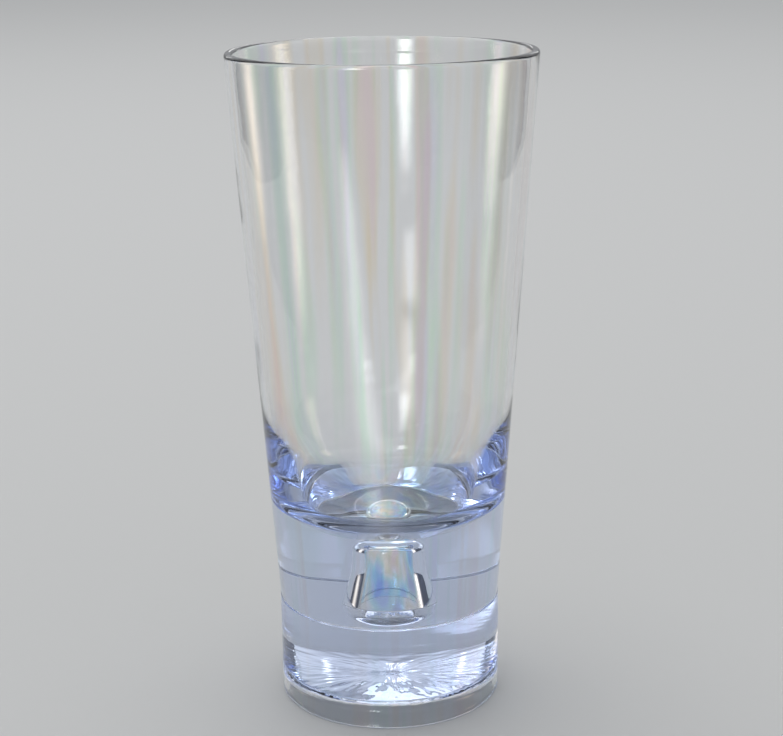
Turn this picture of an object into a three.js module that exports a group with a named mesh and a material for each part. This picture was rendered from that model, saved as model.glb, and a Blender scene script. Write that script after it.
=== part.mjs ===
import * as THREE from 'three';

// Clear moulded plastic beer glass, standing on Z = 0 with its axis on +Z, in millimetres.
// The cup is one thick moulding, cored out from below, and a thick foot is bonded under it.

// Overall sizes
const HEIGHT = 180;
const RIM_DIAMETER = 83;
const WAIST_DIAMETER = 61.4;
const FOOT_DIAMETER = 61.6;
const FOOT_HEIGHT = 29;

// Cup: wall, drinking edge, and the inside that tapers to a bowl-shaped floor
const WALL = 2.3;
const FLOOR_THICKNESS = 2.5;
const FLOOR_RADIUS = 12;
const FLOOR_FILLET = 12;
const HEEL_HEIGHT = 6.2;
const HEEL_RADIUS = 26;
const HEEL_FILLET = 9;
const TAPER_HEIGHT = 29.7;
const TAPER_FILLET = 40;

// Bell-shaped hollow that cores out the thick bottom of the cup from below
const BELL_HEIGHT = 18.5;
const BELL_NECK_RADIUS = 6.6;
const BELL_SKIRT_RADIUS = 6.7;
const BELL_SKIRT_HEIGHT = 10.7;
const BELL_MOUTH_RADIUS = 8.5;
const BELL_CORNER_FILLET = 2.5;
const BELL_SKIRT_FILLET = 20;

// Ring of cement over the whole joint between the cup and the foot
const BOND_THICKNESS = 0.3;
const BOND_INSET = 0.3;

// Foot: dish under the bell, recessed underside, crowned in the middle, and the flat ring that it stands on
const DISH_DEPTH = 5.5;
const DISH_SHOULDER_DEPTH = 3.4;
const DISH_SHOULDER_RADIUS = 7.9;
const DISH_SHOULDER_FILLET = 3.5;
const DISH_FLOOR_RADIUS = 4.6;
const DISH_FLOOR_FILLET = 6;
const RECESS_DEPTH = 6.4;
const RECESS_CORNER_FILLET = 3.4;
const RECESS_DRAFT = 0.8;
const CROWN_RADIUS = 10;
const CROWN_RISE = 1.4;
const CROWN_FILLET = 2;
const REST_RING_WIDTH = 1.7;
const FOOT_EDGE_FILLET = 1.1;
const SEAM_EDGE_FILLET = 0.25;

// Fineness of the turned surfaces
const SEGMENTS = 64;
const ARC_STEP = THREE.MathUtils.degToRad(15);
const MIN_ARC_STEPS = 2;

// Heights and radii that follow from the sizes above
const cupBottom = FOOT_HEIGHT + BOND_THICKNESS;
const bellTop = cupBottom + BELL_HEIGHT;
const floorLevel = bellTop + FLOOR_THICKNESS;
const heelLevel = floorLevel + HEEL_HEIGHT;
const taperTop = floorLevel + TAPER_HEIGHT;
const rimRadius = RIM_DIAMETER / 2;
const waistRadius = WAIST_DIAMETER / 2;
const footRadius = FOOT_DIAMETER / 2;
const recessRimRadius = footRadius - FOOT_EDGE_FILLET - REST_RING_WIDTH;
const bondOuterRadius = Math.min(waistRadius, footRadius) - BOND_INSET;
const bondInnerRadius = BELL_MOUTH_RADIUS + BOND_INSET;

// Outer radius of the cup's straight side at a height.
function sideRadius(z) {
  return THREE.MathUtils.mapLinear(z, cupBottom, HEIGHT, waistRadius, rimRadius);
}

// A corner of a turned outline, with the radius that rounds it off.
function corner(radius, z, fillet = 0) {
  return { at: new THREE.Vector2(radius, z), fillet };
}

// Points of the arc that is tangent to both runs meeting at a corner.
// The arc takes at most half of the shorter run, so that neighbouring arcs never cross.
function filletPoints(before, here, after) {
  const back = before.sub(here.at);
  const ahead = after.sub(here.at);
  const room = Math.min(back.length(), ahead.length()) / 2;
  const halfAngle = back.angleTo(ahead) / 2;
  const radius = Math.min(here.fillet, room * Math.tan(halfAngle));
  const turn = (Math.PI - 2 * halfAngle) * Math.sign(ahead.cross(back));
  back.normalize();
  ahead.normalize();
  const toCentre = back.clone().add(ahead).setLength(radius / Math.sin(halfAngle));
  const centre = here.at.clone().add(toCentre);
  const start = back.multiplyScalar(radius / Math.tan(halfAngle)).sub(toCentre);
  const steps = Math.max(MIN_ARC_STEPS, Math.ceil(Math.abs(turn) / ARC_STEP));
  const points = [];
  for (let i = 0; i <= steps; i += 1) {
    const spoke = start.clone().rotateAround(new THREE.Vector2(), (turn * i) / steps);
    points.push(spoke.add(centre));
  }
  return points;
}

// Rounded outline through a list of corners, as points for a lathe.
function outline(corners) {
  return corners.flatMap((here, i) => {
    if (here.fillet === 0) return [here.at];
    return filletPoints(corners[i - 1].at.clone(), here, corners[i + 1].at.clone());
  });
}

// Solid of revolution about +Z from an outline drawn as radius and height.
function turned(name, points, material) {
  const geometry = new THREE.LatheGeometry(points, SEGMENTS);
  geometry.rotateX(Math.PI / 2);
  const mesh = new THREE.Mesh(geometry, material);
  mesh.name = name;
  return mesh;
}

// Cup: bell-shaped hollow below, straight outer side, rounded lip, straight inside, taper and floor.
function cupBody() {
  const lipFillet = WALL / 2;
  const corners = [
    corner(0, bellTop),
    corner(BELL_NECK_RADIUS, bellTop, BELL_CORNER_FILLET),
    corner(BELL_SKIRT_RADIUS, cupBottom + BELL_SKIRT_HEIGHT, BELL_SKIRT_FILLET),
    corner(BELL_MOUTH_RADIUS, cupBottom),
    corner(waistRadius, cupBottom, SEAM_EDGE_FILLET),
    corner(rimRadius, HEIGHT, lipFillet),
    corner(rimRadius - WALL, HEIGHT, lipFillet),
    corner(sideRadius(taperTop) - WALL, taperTop, TAPER_FILLET),
    corner(HEEL_RADIUS, heelLevel, HEEL_FILLET),
    corner(FLOOR_RADIUS, floorLevel, FLOOR_FILLET),
    corner(0, floorLevel),
  ];
  const plastic = new THREE.MeshStandardMaterial({
    color: 0xdfe6f2,
    roughness: 0.05,
    metalness: 0,
    transparent: true,
    opacity: 0.35,
  });
  return turned('cup_body', outline(corners), plastic);
}

// Foot: thick disc with a dish in its top and a recessed underside, standing on a narrow flat ring.
function foot() {
  const crownLevel = RECESS_DEPTH + CROWN_RISE;
  const corners = [
    corner(0, crownLevel),
    corner(CROWN_RADIUS, crownLevel, CROWN_FILLET),
    corner(recessRimRadius - RECESS_DRAFT, RECESS_DEPTH, RECESS_CORNER_FILLET),
    corner(recessRimRadius, 0),
    corner(footRadius, 0, FOOT_EDGE_FILLET),
    corner(footRadius, FOOT_HEIGHT, SEAM_EDGE_FILLET),
    corner(BELL_MOUTH_RADIUS, FOOT_HEIGHT),
    corner(DISH_SHOULDER_RADIUS, FOOT_HEIGHT - DISH_SHOULDER_DEPTH, DISH_SHOULDER_FILLET),
    corner(DISH_FLOOR_RADIUS, FOOT_HEIGHT - DISH_DEPTH, DISH_FLOOR_FILLET),
    corner(0, FOOT_HEIGHT - DISH_DEPTH),
  ];
  const plastic = new THREE.MeshStandardMaterial({
    color: 0xd6deee,
    roughness: 0.06,
    metalness: 0,
    transparent: true,
    opacity: 0.4,
  });
  return turned('foot', outline(corners), plastic);
}

// Bond ring: the thin layer of clear cement that fills the joint, stopping short of both edges.
function bondRing() {
  const section = outline([
    corner(bondInnerRadius, FOOT_HEIGHT),
    corner(bondOuterRadius, FOOT_HEIGHT),
    corner(bondOuterRadius, cupBottom),
    corner(bondInnerRadius, cupBottom),
    corner(bondInnerRadius, FOOT_HEIGHT),
  ]);
  const cement = new THREE.MeshStandardMaterial({
    color: 0xe8eaec,
    roughness: 0.25,
    metalness: 0,
    transparent: true,
    opacity: 0.6,
  });
  return turned('bond_ring', section, cement);
}

const glass = new THREE.Group();
glass.name = 'plastic_beer_glass';
glass.add(cupBody(), foot(), bondRing());

export default glass;
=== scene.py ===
import math

import bmesh
import bpy
from mathutils import Matrix, Vector


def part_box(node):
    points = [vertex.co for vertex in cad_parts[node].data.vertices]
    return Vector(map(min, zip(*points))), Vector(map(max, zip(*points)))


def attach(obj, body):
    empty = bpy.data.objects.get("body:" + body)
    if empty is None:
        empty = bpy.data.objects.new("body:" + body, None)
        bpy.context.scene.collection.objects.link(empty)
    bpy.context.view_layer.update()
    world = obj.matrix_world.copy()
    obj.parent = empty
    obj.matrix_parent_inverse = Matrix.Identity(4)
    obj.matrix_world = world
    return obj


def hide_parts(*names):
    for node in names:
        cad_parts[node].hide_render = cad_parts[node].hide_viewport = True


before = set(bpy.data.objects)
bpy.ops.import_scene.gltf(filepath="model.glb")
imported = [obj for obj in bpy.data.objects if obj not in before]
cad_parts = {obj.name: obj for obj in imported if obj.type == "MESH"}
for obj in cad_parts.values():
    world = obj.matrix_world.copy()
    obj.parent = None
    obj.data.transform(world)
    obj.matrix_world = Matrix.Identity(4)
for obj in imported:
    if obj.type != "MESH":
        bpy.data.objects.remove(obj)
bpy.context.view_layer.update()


# Foot
# A thick disc of clear acrylic, moulded on its own, with a recessed underside that is crowned in the middle.
# It stands on a narrow flat ring. Its flat top is cemented under the cup,
# round a dish that closes the bubble.
foot_low, foot_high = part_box("foot")
foot_radius = foot_high[0]
foot_top = foot_high[2]
foot_edge_fillet = 0.0011
seam_edge_fillet = 0.0004
rest_ring_width = 0.0017
rest_ring_fillet = 0.0003
recess_depth = 0.0064
recess_draft = 0.0008
recess_corner_fillet = 0.0034
crown_radius = 0.0100
crown_rise = 0.0014
crown_fillet = 0.0020
gate_mark_radius = 0.0016
gate_mark_depth = 0.0003
gate_mark_fillet = 0.0002
dish_rim_radius = 0.0085
dish_shoulder_radius = 0.0079
dish_shoulder_depth = 0.0034
dish_shoulder_fillet = 0.0035
dish_floor_radius = 0.0046
dish_floor_fillet = 0.0060
dish_depth = 0.0055
bond_low, bond_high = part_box("bond_ring")
bond_outer_radius = bond_high[0]
bond_inner_radius = dish_rim_radius


def object_from(name, mesh):
    """Makes an object of a finished mesh and links it to the scene."""
    data = bpy.data.meshes.new(name)
    mesh.to_mesh(data)
    mesh.free()
    made = bpy.data.objects.new(name, data)
    bpy.context.scene.collection.objects.link(made)
    return made


def turned_piece(name, corners, closed=False):
    """Spins an outline of (radius, height, fillet) corners about the Z axis into one closed solid."""
    spin_steps = 256
    longest_step = 0.003
    turn_per_segment = math.radians(5)
    fewest_segments = 4
    sharp_angle = math.radians(40)
    merge_distance = 1e-6
    points = []
    fillets = []
    for radius, height, fillet in corners:
        points.append(Vector((radius, 0, height)))
        fillets.append(fillet)
    mesh = bmesh.new()
    outline = [mesh.verts.new(point) for point in points]
    for vertex, following in zip(outline, outline[1:]):
        mesh.edges.new((vertex, following))
    if closed:
        mesh.edges.new((outline[-1], outline[0]))
    for i, fillet in enumerate(fillets):
        if fillet == 0:
            continue
        back = points[i - 1] - points[i]
        ahead = points[(i + 1) % len(points)] - points[i]
        corner_angle = back.angle(ahead)
        segments = max(fewest_segments, math.ceil((math.pi - corner_angle) / turn_per_segment))
        bmesh.ops.bevel(
            mesh,
            geom=[outline[i]],
            offset=fillet / math.tan(corner_angle / 2),
            offset_type="OFFSET",
            segments=segments,
            profile=0.5,
            affect="VERTICES",
            material=-1,
        )
    for edge in mesh.edges[:]:
        cuts = math.ceil(edge.calc_length() / longest_step) - 1
        if cuts > 0:
            bmesh.ops.subdivide_edges(mesh, edges=[edge], cuts=cuts)
    bmesh.ops.spin(
        mesh,
        geom=mesh.verts[:] + mesh.edges[:],
        cent=(0, 0, 0),
        axis=(0, 0, 1),
        angle=2 * math.pi,
        steps=spin_steps,
        use_merge=True,
    )
    bmesh.ops.remove_doubles(mesh, verts=mesh.verts[:], dist=merge_distance)
    bmesh.ops.recalc_face_normals(mesh, faces=mesh.faces[:])
    for face in mesh.faces:
        face.smooth = True
    for edge in mesh.edges:
        edge.smooth = edge.calc_face_angle() < sharp_angle
    return object_from(name, mesh)


recess_rim_radius = foot_radius - foot_edge_fillet - rest_ring_width
crown_level = recess_depth + crown_rise
foot = turned_piece("clear_foot", [
    (0, crown_level + gate_mark_depth, 0),
    (gate_mark_radius, crown_level + gate_mark_depth, gate_mark_fillet),
    (gate_mark_radius + gate_mark_depth, crown_level, gate_mark_fillet),
    (crown_radius, crown_level, crown_fillet),
    (recess_rim_radius - recess_draft, recess_depth, recess_corner_fillet),
    (recess_rim_radius, foot_low[2], rest_ring_fillet),
    (foot_radius, foot_low[2], foot_edge_fillet),
    (foot_radius, foot_top, seam_edge_fillet),
    (bond_outer_radius, foot_top, 0),
    (dish_rim_radius, foot_top, 0),
    (dish_shoulder_radius, foot_top - dish_shoulder_depth, dish_shoulder_fillet),
    (dish_floor_radius, foot_top - dish_depth, dish_floor_fillet),
    (0, foot_top - dish_depth, 0),
])


def mark_wetted_faces(piece, heights):
    """Marks the flat faces that clear cement wets, which light passes as if they weren't there."""
    on_joint = 1e-6
    wetted = piece.data.attributes.new("wetted", "FLOAT", "FACE")
    for face in piece.data.polygons:
        corners = [piece.data.vertices[i].co for i in face.vertices]
        radii = [corner.xy.length for corner in corners]
        flat = any(
            all(abs(corner.z - height) < on_joint for corner in corners)
            for height in heights
        )
        inside = min(radii) > bond_inner_radius - on_joint and max(radii) < bond_outer_radius + on_joint
        wetted.data[face.index].value = 1 if flat and inside else 0


mark_wetted_faces(foot, [foot_top])


def vector_step(tree, operation, vector, constant=None):
    """Vector maths on a socket, with a constant as its second value."""
    step = tree.nodes.new("ShaderNodeVectorMath")
    step.operation = operation
    tree.links.new(vector, step.inputs[0])
    if constant is not None:
        step.inputs[1].default_value = constant
    return step


def calculate(tree, operation, first, second):
    """Maths on a socket, with another socket or a constant as its second value."""
    step = tree.nodes.new("ShaderNodeMath")
    step.operation = operation
    tree.links.new(first, step.inputs[0])
    if isinstance(second, float):
        step.inputs[1].default_value = second
    else:
        tree.links.new(second, step.inputs[1])
    return step.outputs[0]


def fade(tree, value, start, end):
    """Goes from 0 to 1 as a value goes from start to end."""
    step = tree.nodes.new("ShaderNodeMapRange")
    step.inputs["From Min"].default_value = start
    step.inputs["From Max"].default_value = end
    tree.links.new(value, step.inputs["Value"])
    return step.outputs["Result"]


def noise(tree, vector, scale, detail):
    """Smooth noise over a vector."""
    texture = tree.nodes.new("ShaderNodeTexNoise")
    texture.inputs["Scale"].default_value = scale
    texture.inputs["Detail"].default_value = detail
    tree.links.new(vector, texture.inputs["Vector"])
    return texture.outputs["Fac"]


def colour_ramp(tree, value, stops):
    """Colours a value by a ramp of (position, colour) stops."""
    ramp = tree.nodes.new("ShaderNodeValToRGB")
    elements = ramp.color_ramp.elements
    while len(elements) < len(stops):
        elements.new(0.5)
    for element, (position, colour) in zip(elements, stops):
        element.position = position
        element.color = (*colour, 1)
    tree.links.new(value, ramp.inputs["Fac"])
    return ramp.outputs["Color"]


def stress_colours():
    """Node group: pastel bands that moulding stress leaves up the wall, and stronger ones round the gate."""
    bands_around = 6
    bands_per_metre = 7
    gate_height = 0.040
    gate_reach = 0.024
    fringes_per_metre = (190, 190, 60)
    across_axis = (1, 1, 0)
    group = bpy.data.node_groups.new("stress_colours", "ShaderNodeTree")
    group.interface.new_socket("Strength", in_out="INPUT", socket_type="NodeSocketFloat")
    group.interface.new_socket("Gate Strength", in_out="INPUT", socket_type="NodeSocketFloat")
    group.interface.new_socket("Color", in_out="OUTPUT", socket_type="NodeSocketColor")
    nodes = group.nodes
    link = group.links.new
    given = nodes.new("NodeGroupInput")
    made = nodes.new("NodeGroupOutput")
    place = nodes.new("ShaderNodeTexCoord").outputs["Object"]

    flat = vector_step(group, "MULTIPLY", place, across_axis)
    spoke = vector_step(group, "NORMALIZE", flat.outputs["Vector"])
    around = vector_step(group, "MULTIPLY", spoke.outputs["Vector"], (bands_around, bands_around, 0))
    up = vector_step(group, "MULTIPLY", place, (0, 0, bands_per_metre))
    band_place = vector_step(group, "ADD", around.outputs["Vector"])
    link(up.outputs["Vector"], band_place.inputs[1])
    bands = noise(group, band_place.outputs["Vector"], scale=1, detail=2)
    wall_colour = colour_ramp(group, bands, [
        (0.30, (1.0, 0.80, 0.82)),
        (0.39, (1.0, 0.92, 0.78)),
        (0.46, (1.0, 1.0, 1.0)),
        (0.56, (1.0, 1.0, 1.0)),
        (0.62, (0.84, 1.0, 0.87)),
        (0.70, (0.88, 0.86, 1.0)),
    ])
    wall_bands = nodes.new("ShaderNodeMix")
    wall_bands.data_type = "RGBA"
    wall_bands.inputs["A"].default_value = (1, 1, 1, 1)
    link(given.outputs["Strength"], wall_bands.inputs["Factor"])
    link(wall_colour, wall_bands.inputs["B"])

    from_gate = vector_step(group, "SUBTRACT", place, (0, 0, gate_height))
    reach = vector_step(group, "LENGTH", from_gate.outputs["Vector"])
    near_gate = fade(group, reach.outputs["Value"], gate_reach, gate_reach / 2)
    gate_weight = calculate(group, "MULTIPLY", near_gate, given.outputs["Gate Strength"])
    fringe_place = vector_step(group, "MULTIPLY", place, fringes_per_metre)
    fringes = noise(group, fringe_place.outputs["Vector"], scale=1, detail=1)
    gate_colour = colour_ramp(group, fringes, [
        (0.32, (1.0, 0.68, 0.76)),
        (0.41, (1.0, 0.90, 0.64)),
        (0.48, (1.0, 1.0, 1.0)),
        (0.54, (0.50, 0.90, 1.0)),
        (0.62, (0.36, 0.52, 1.0)),
    ])
    all_colours = nodes.new("ShaderNodeMix")
    all_colours.data_type = "RGBA"
    link(gate_weight, all_colours.inputs["Factor"])
    link(wall_bands.outputs["Result"], all_colours.inputs["A"])
    link(gate_colour, all_colours.inputs["B"])
    link(all_colours.outputs["Result"], made.inputs["Color"])
    return group


def handling_marks():
    """Node group: roughness and bump height of polished plastic, with wear and flow marks under the foot."""
    smudges_per_metre = 45
    smudge_range = (0.52, 0.72)
    hairlines_per_metre = (900, 900, 60)
    hairline_slant = (0.25, 0.15, 0)
    hairline_range = (0.66, 0.74)
    hairline_depth = 0.02
    scuffs_per_metre = 700
    scuff_range = (0.35, 0.6)
    scuff_height = 0.0016
    ripples_per_metre = 55
    underside_bottom = 0.0058
    underside_bottom_fade = 0.0008
    underside_top = 0.0095
    underside_top_fade = 0.001
    underside_radius = 0.0272
    underside_radius_fade = 0.0004
    flow_marks_around = 7
    flow_marks_per_metre = 130.0
    flow_mark_depth = 2.4
    across_axis = (1, 1, 0)
    group = bpy.data.node_groups.new("handling_marks", "ShaderNodeTree")
    for name in ("Polish", "Smudge", "Scratch", "Scuff"):
        group.interface.new_socket(name, in_out="INPUT", socket_type="NodeSocketFloat")
    for name in ("Roughness", "Height"):
        group.interface.new_socket(name, in_out="OUTPUT", socket_type="NodeSocketFloat")
    nodes = group.nodes
    link = group.links.new
    given = nodes.new("NodeGroupInput")
    made = nodes.new("NodeGroupOutput")
    place = nodes.new("ShaderNodeTexCoord").outputs["Object"]

    smudges = fade(group, noise(group, place, smudges_per_metre, detail=4), *smudge_range)
    stretch = nodes.new("ShaderNodeMapping")
    stretch.inputs["Scale"].default_value = hairlines_per_metre
    stretch.inputs["Rotation"].default_value = hairline_slant
    link(place, stretch.inputs["Vector"])
    hairlines = fade(group, noise(group, stretch.outputs["Vector"], scale=1, detail=2), *hairline_range)
    parts = nodes.new("ShaderNodeSeparateXYZ")
    link(place, parts.inputs["Vector"])
    height = parts.outputs["Z"]
    near_table = fade(group, height, scuff_height, 0)
    scuff_spots = fade(group, noise(group, place, scuffs_per_metre, detail=3), *scuff_range)
    scuffs = calculate(group, "MULTIPLY", near_table, scuff_spots)

    smudge_part = calculate(group, "MULTIPLY", smudges, given.outputs["Smudge"])
    hairline_part = calculate(group, "MULTIPLY", hairlines, given.outputs["Scratch"])
    scuff_part = calculate(group, "MULTIPLY", scuffs, given.outputs["Scuff"])
    smudges_and_hairlines = calculate(group, "ADD", smudge_part, hairline_part)
    marks = calculate(group, "ADD", smudges_and_hairlines, scuff_part)
    link(calculate(group, "ADD", marks, given.outputs["Polish"]), made.inputs["Roughness"])

    ripple = noise(group, place, ripples_per_metre, detail=1)
    dents = calculate(group, "MULTIPLY", hairlines, hairline_depth)
    flat = vector_step(group, "MULTIPLY", place, across_axis)
    radius = vector_step(group, "LENGTH", flat.outputs["Vector"]).outputs["Value"]
    spoke = vector_step(group, "NORMALIZE", flat.outputs["Vector"])
    around = vector_step(group, "SCALE", spoke.outputs["Vector"])
    around.inputs["Scale"].default_value = flow_marks_around
    outward = nodes.new("ShaderNodeCombineXYZ")
    link(calculate(group, "MULTIPLY", radius, flow_marks_per_metre), outward.inputs["Z"])
    flow_place = vector_step(group, "ADD", around.outputs["Vector"])
    link(outward.outputs["Vector"], flow_place.inputs[1])
    flow = noise(group, flow_place.outputs["Vector"], scale=1, detail=1)
    flow_marks = calculate(group, "MULTIPLY", flow, flow_mark_depth)
    below = fade(group, height, underside_top + underside_top_fade, underside_top)
    above = fade(group, height, underside_bottom - underside_bottom_fade, underside_bottom)
    within = fade(group, radius, underside_radius + underside_radius_fade, underside_radius)
    between = calculate(group, "MULTIPLY", below, above)
    underside = calculate(group, "MULTIPLY", between, within)
    flow_part = calculate(group, "MULTIPLY", underside, flow_marks)
    dented = calculate(group, "SUBTRACT", ripple, dents)
    link(calculate(group, "ADD", dented, flow_part), made.inputs["Height"])
    return group


def clear_acrylic(name, clearness, polish, smudge, scratch, scuff, band_strength, gate_strength):
    """Clear acrylic: polished and refracting, with a blue cast that only shows where it is thick."""
    refraction = 1.5
    bump_strength = 0.6
    bump_depth = 0.0002
    cast = (0.36, 0.53, 0.89, 1)
    cast_density = 11
    material = bpy.data.materials.new(name)
    material.use_nodes = True
    nodes = material.node_tree.nodes
    link = material.node_tree.links.new
    shader = nodes["Principled BSDF"]
    shader.inputs["Transmission Weight"].default_value = clearness
    shader.inputs["IOR"].default_value = refraction
    colours = nodes.new("ShaderNodeGroup")
    colours.node_tree = stress_group
    colours.inputs["Strength"].default_value = band_strength
    colours.inputs["Gate Strength"].default_value = gate_strength
    link(colours.outputs["Color"], shader.inputs["Base Color"])
    wear = nodes.new("ShaderNodeGroup")
    wear.node_tree = marks_group
    wear.inputs["Polish"].default_value = polish
    wear.inputs["Smudge"].default_value = smudge
    wear.inputs["Scratch"].default_value = scratch
    wear.inputs["Scuff"].default_value = scuff
    link(wear.outputs["Roughness"], shader.inputs["Roughness"])
    bump = nodes.new("ShaderNodeBump")
    bump.inputs["Strength"].default_value = bump_strength
    bump.inputs["Distance"].default_value = bump_depth
    link(wear.outputs["Height"], bump.inputs["Height"])
    link(bump.outputs["Normal"], shader.inputs["Normal"])
    wetted = nodes.new("ShaderNodeAttribute")
    wetted.attribute_name = "wetted"
    unseen = nodes.new("ShaderNodeBsdfTransparent")
    surface = nodes.new("ShaderNodeMixShader")
    link(wetted.outputs["Fac"], surface.inputs["Fac"])
    link(shader.outputs["BSDF"], surface.inputs[1])
    link(unseen.outputs["BSDF"], surface.inputs[2])
    link(surface.outputs["Shader"], nodes["Material Output"].inputs["Surface"])
    tint = nodes.new("ShaderNodeVolumeAbsorption")
    tint.inputs["Color"].default_value = cast
    tint.inputs["Density"].default_value = cast_density
    link(tint.outputs["Volume"], nodes["Material Output"].inputs["Volume"])
    return material


stress_group = stress_colours()
marks_group = handling_marks()
foot.data.materials.append(clear_acrylic(
    "foot_acrylic", clearness=1, polish=0.01, smudge=0.03, scratch=0.12, scuff=0.25,
    band_strength=0.4, gate_strength=0,
))
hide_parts("foot")
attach(foot, "root")


# Bond ring
# A thin layer of cement between the two mouldings, from the mouth of the bubble out to a small bead.
# It cures a little milky. Where it wets the acrylic it doesn't show, and its bead is a fine line.
bond_clearance = 0.00001
bond_bead = 0.00025
bond_bottom = bond_low[2] + bond_clearance
bond_top = bond_high[2] - bond_clearance
bond_bead_radius = bond_outer_radius + bond_bead
bond_bead_fillet = 0.0001
bond = turned_piece("bond_layer", [
    (bond_inner_radius, bond_bottom, 0),
    (bond_outer_radius, bond_bottom, 0),
    (bond_bead_radius, bond_bottom, bond_bead_fillet),
    (bond_bead_radius, bond_top, bond_bead_fillet),
    (bond_outer_radius, bond_top, 0),
    (bond_inner_radius, bond_top, 0),
], closed=True)
mark_wetted_faces(bond, [bond_bottom, bond_top])
bond.data.materials.append(clear_acrylic(
    "cured_cement", clearness=0.6, polish=0.3, smudge=0.4, scratch=0.1, scuff=0,
    band_strength=0.4, gate_strength=0,
))
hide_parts("bond_ring")
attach(bond, "root")


# Cup
# One thick clear acrylic moulding: a straight conical wall, a rounded lip, and a bowl-shaped floor inside.
# A bell-shaped core from below lightens the thick bottom, and the dish in the foot closes it into a bubble.
cup_low, cup_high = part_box("cup_body")
cup_bottom = cup_low[2]
cup_top = cup_high[2]
rim_radius = 0.0415
waist_radius = 0.0307
wall = 0.0023
lip_fillet = 0.00111
bell_height = 0.0185
bell_neck_radius = 0.0066
bell_skirt_radius = 0.0067
bell_skirt_height = 0.0107
bell_mouth_radius = dish_rim_radius
bell_corner_fillet = 0.0025
bell_skirt_fillet = 0.020
floor_thickness = 0.0025
floor_radius = 0.012
floor_fillet = 0.012
heel_height = 0.0062
heel_radius = 0.026
heel_fillet = 0.009
taper_height = 0.0297
taper_fillet = 0.040
bell_top = cup_bottom + bell_height
floor_level = bell_top + floor_thickness
taper_top = floor_level + taper_height
side_slope = (rim_radius - waist_radius) / (cup_top - cup_bottom)
taper_top_radius = waist_radius + side_slope * (taper_top - cup_bottom) - wall
cup = turned_piece("clear_cup", [
    (0, bell_top, 0),
    (bell_neck_radius, bell_top, bell_corner_fillet),
    (bell_skirt_radius, cup_bottom + bell_skirt_height, bell_skirt_fillet),
    (bell_mouth_radius, cup_bottom, 0),
    (bond_outer_radius, cup_bottom, 0),
    (waist_radius, cup_bottom, seam_edge_fillet),
    (rim_radius, cup_top, lip_fillet),
    (rim_radius - wall, cup_top, lip_fillet),
    (taper_top_radius, taper_top, taper_fillet),
    (heel_radius, floor_level + heel_height, heel_fillet),
    (floor_radius, floor_level, floor_fillet),
    (0, floor_level, 0),
])
mark_wetted_faces(cup, [cup_bottom])
cup.data.materials.append(clear_acrylic(
    "cup_acrylic", clearness=1, polish=0.008, smudge=0.03, scratch=0.1, scuff=0,
    band_strength=0.75, gate_strength=1.0,
))
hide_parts("cup_body")
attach(cup, "root")


# Floor
# A plain pale matt sheet that the glass stands on.
floor_half = 6
floor_colour = (0.68, 0.68, 0.67, 1)
floor_roughness = 0.6
floor_mesh = bmesh.new()
bmesh.ops.create_grid(floor_mesh, x_segments=1, y_segments=1, size=floor_half)
floor = object_from("pale_floor", floor_mesh)
floor_paint = bpy.data.materials.new("pale_floor_paint")
floor_paint.use_nodes = True
floor_shader = floor_paint.node_tree.nodes["Principled BSDF"]
floor_shader.inputs["Base Color"].default_value = floor_colour
floor_shader.inputs["Roughness"].default_value = floor_roughness
floor_shader.inputs["Specular IOR Level"].default_value = 0
floor.data.materials.append(floor_paint)


# Studio light
# One large soft light overhead, in a pale room that is brightest a little above the horizon.
# Beyond the frame, glowing cards give the wall its vertical highlights and two dark flags draw its edges.
# The cards and flags show only in mirrored light.
def aimed(place, aim):
    """Matrix that stands a thing at a place and turns its face to an aim."""
    direction = Vector(aim) - Vector(place)
    return Matrix.Translation(place) @ direction.to_track_quat("-Z", "Y").to_matrix().to_4x4()


overhead_size = 2.2
overhead_watts = 17
overhead = bpy.data.lights.new("overhead_light", "AREA")
overhead.shape = "SQUARE"
overhead.size = overhead_size
overhead.energy = overhead_watts
overhead_holder = bpy.data.objects.new("overhead_light", overhead)
overhead_holder.matrix_world = aimed((-0.3, 0.8, 2.2), (0, 0.3, 0))
overhead_holder.visible_camera = False
bpy.context.scene.collection.objects.link(overhead_holder)


def hide_from_view(thing):
    """Keeps a card or flag out of the picture, and out of the light and shade on the floor."""
    thing.visible_camera = False
    thing.visible_diffuse = False
    thing.visible_shadow = False


def show_in_mirrors(material, shader, amount):
    """Shows a shader, by an amount, only to light that a surface has mirrored. Other light passes through."""
    tree = material.node_tree
    link = tree.links.new
    path = tree.nodes.new("ShaderNodeLightPath")
    mirrored = calculate(tree, "MINIMUM", path.outputs["Glossy Depth"], 1.0)
    shown = calculate(tree, "MULTIPLY", mirrored, amount)
    clear = tree.nodes.new("ShaderNodeBsdfTransparent")
    mix = tree.nodes.new("ShaderNodeMixShader")
    link(shown, mix.inputs["Fac"])
    link(clear.outputs["BSDF"], mix.inputs[1])
    link(shader, mix.inputs[2])
    link(mix.outputs["Shader"], tree.nodes["Material Output"].inputs["Surface"])


def glow_card(name, placing, width, height, colour, strength):
    """A card that glows most along its middle line and fades to nothing at its edges."""
    half = 0.5
    end_fade = 6
    mesh = bmesh.new()
    bmesh.ops.create_grid(mesh, x_segments=10, y_segments=14, size=half)
    glow = mesh.verts.layers.float.new("glow")
    for vertex in mesh.verts:
        across = math.cos(math.pi * vertex.co.x) ** 2
        along = min(1, end_fade * (half - abs(vertex.co.y)))
        vertex[glow] = across * along
        vertex.co.x *= width
        vertex.co.y *= height
    card = object_from(name, mesh)
    card.matrix_world = placing
    hide_from_view(card)
    material = bpy.data.materials.new(name)
    material.use_nodes = True
    nodes = material.node_tree.nodes
    amount = nodes.new("ShaderNodeAttribute")
    amount.attribute_name = "glow"
    emission = nodes.new("ShaderNodeEmission")
    emission.inputs["Color"].default_value = (*colour, 1)
    emission.inputs["Strength"].default_value = strength
    show_in_mirrors(material, emission.outputs["Emission"], amount.outputs["Fac"])
    card.data.materials.append(material)


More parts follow.
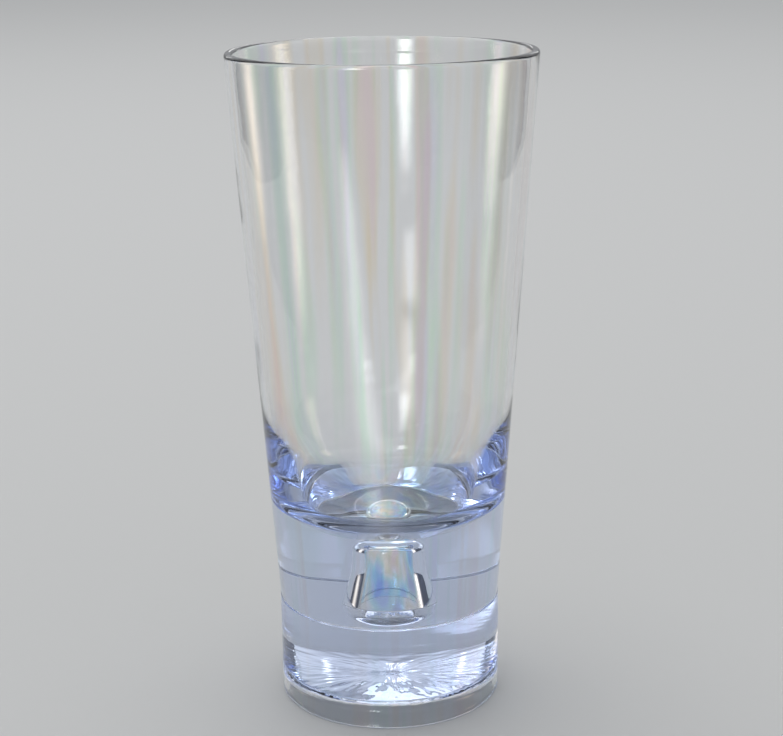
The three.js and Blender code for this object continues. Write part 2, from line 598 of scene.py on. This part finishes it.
cream = (1, 0.86, 0.68)
white = (1, 1, 1)
right_placing = aimed((0.47, 0.01, 0.21), (0, 0.01, 0.21))
left_placing = aimed((-0.44, 0.17, 0.20), (0, 0.17, 0.20))
front_placing = aimed((-0.152, -0.436, 0.30), (0, 0, 0.30))
glow_card("right_card", right_placing, width=0.20, height=0.40, colour=cream, strength=4.5)
glow_card("left_card", left_placing, width=0.20, height=0.40, colour=cream, strength=2.5)
glow_card("front_card", front_placing, width=0.15, height=0.36, colour=white, strength=12)

low_card_lift = 0.004
for name, x, y, degrees, width, length in (
    ("low_card_left", -0.13, -0.30, -37, 0.11, 0.52),
    ("low_card_right", 0.13, -0.36, 20, 0.13, 0.13),
    ("low_card_near", 0.08, -0.25, 20, 0.09, 0.10),
):
    spot = Matrix.Translation((x, y, low_card_lift))
    low_placing = spot @ Matrix.Rotation(math.radians(degrees), 4, "Z")
    glow_card(name, low_placing, width, length, colour=white, strength=3)

back_distance = 0.8
back_height = 0.36
back_aim = (0, 0, 0.1)
for degrees in (-52, -27, -3, 22, 49):
    turn = math.radians(degrees)
    place = (back_distance * math.sin(turn), back_distance * math.cos(turn), back_height)
    back_placing = aimed(place, back_aim)
    glow_card(f"back_card_{degrees}", back_placing, width=0.08, height=0.22, colour=white, strength=3)

flag_distance = 0.6
flag_length = 0.7
flag_height = 0.5
flag_centre = 0.25
flag_colour = (0.07, 0.08, 0.11, 1)
flag_paint = bpy.data.materials.new("flag_paint")
flag_paint.use_nodes = True
flag_shader = flag_paint.node_tree.nodes["Principled BSDF"]
flag_shader.inputs["Base Color"].default_value = flag_colour
show_in_mirrors(flag_paint, flag_shader.outputs["BSDF"], amount=1.0)
for name, side in (("left_flag", -1), ("right_flag", 1)):
    flag_mesh = bmesh.new()
    bmesh.ops.create_grid(flag_mesh, x_segments=1, y_segments=1, size=0.5)
    shape = Matrix.Diagonal((flag_height, flag_length, 1, 1))
    upright = Matrix.Rotation(math.radians(90), 4, "Y") @ shape
    placing = Matrix.Translation((side * flag_distance, flag_centre, flag_height / 2)) @ upright
    bmesh.ops.transform(flag_mesh, matrix=placing, verts=flag_mesh.verts)
    flag = object_from(name, flag_mesh)
    flag.data.materials.append(flag_paint)
    hide_from_view(flag)

room_cast = (0.95, 0.97, 1)
room_levels = [(0.0, 0.35), (0.12, 0.5), (0.27, 0.95), (0.5, 0.9), (0.8, 0.4), (1.0, 0.35)]
room_stops = []
for position, brightness in room_levels:
    room_stops.append((position, [part * brightness for part in room_cast]))
world = bpy.data.worlds.new("pale_room")
world.use_nodes = True
world_nodes = world.node_tree.nodes
world_link = world.node_tree.links.new
direction = world_nodes.new("ShaderNodeTexCoord")
rise = world_nodes.new("ShaderNodeSeparateXYZ")
world_link(direction.outputs["Generated"], rise.inputs["Vector"])
room_colour = colour_ramp(world.node_tree, rise.outputs["Z"], room_stops)
world_link(room_colour, world_nodes["Background"].inputs["Color"])
bpy.context.scene.world = world


# Camera
# Stands where the photograph was taken from, a little above the rim and tilted down.
image_width = 783
focal_pixels = 1800.2
sensor_width = 36
camera_data = bpy.data.cameras.new("camera")
camera_data.sensor_fit = "HORIZONTAL"
camera_data.sensor_width = sensor_width
camera_data.lens = focal_pixels * sensor_width / image_width
camera_data.clip_start = 0.01
camera_data.clip_end = 50
camera = bpy.data.objects.new("camera", camera_data)
camera_pitch = math.radians(15.35)
camera_roll = math.radians(-0.764)
camera.location = (0.00143, -0.4766, 0.22424)
tilt = Matrix.Rotation(math.radians(90) - camera_pitch, 4, "X") @ Matrix.Rotation(camera_roll, 4, "Z")
camera.rotation_euler = tilt.to_euler()
bpy.context.scene.collection.objects.link(camera)
bpy.context.scene.camera = camera

scene = bpy.context.scene
scene.view_settings.view_transform = "Standard"
scene.cycles.max_bounces = 32
scene.cycles.transmission_bounces = 32
scene.cycles.glossy_bounces = 16
scene.cycles.diffuse_bounces = 4
scene.cycles.transparent_max_bounces = 32
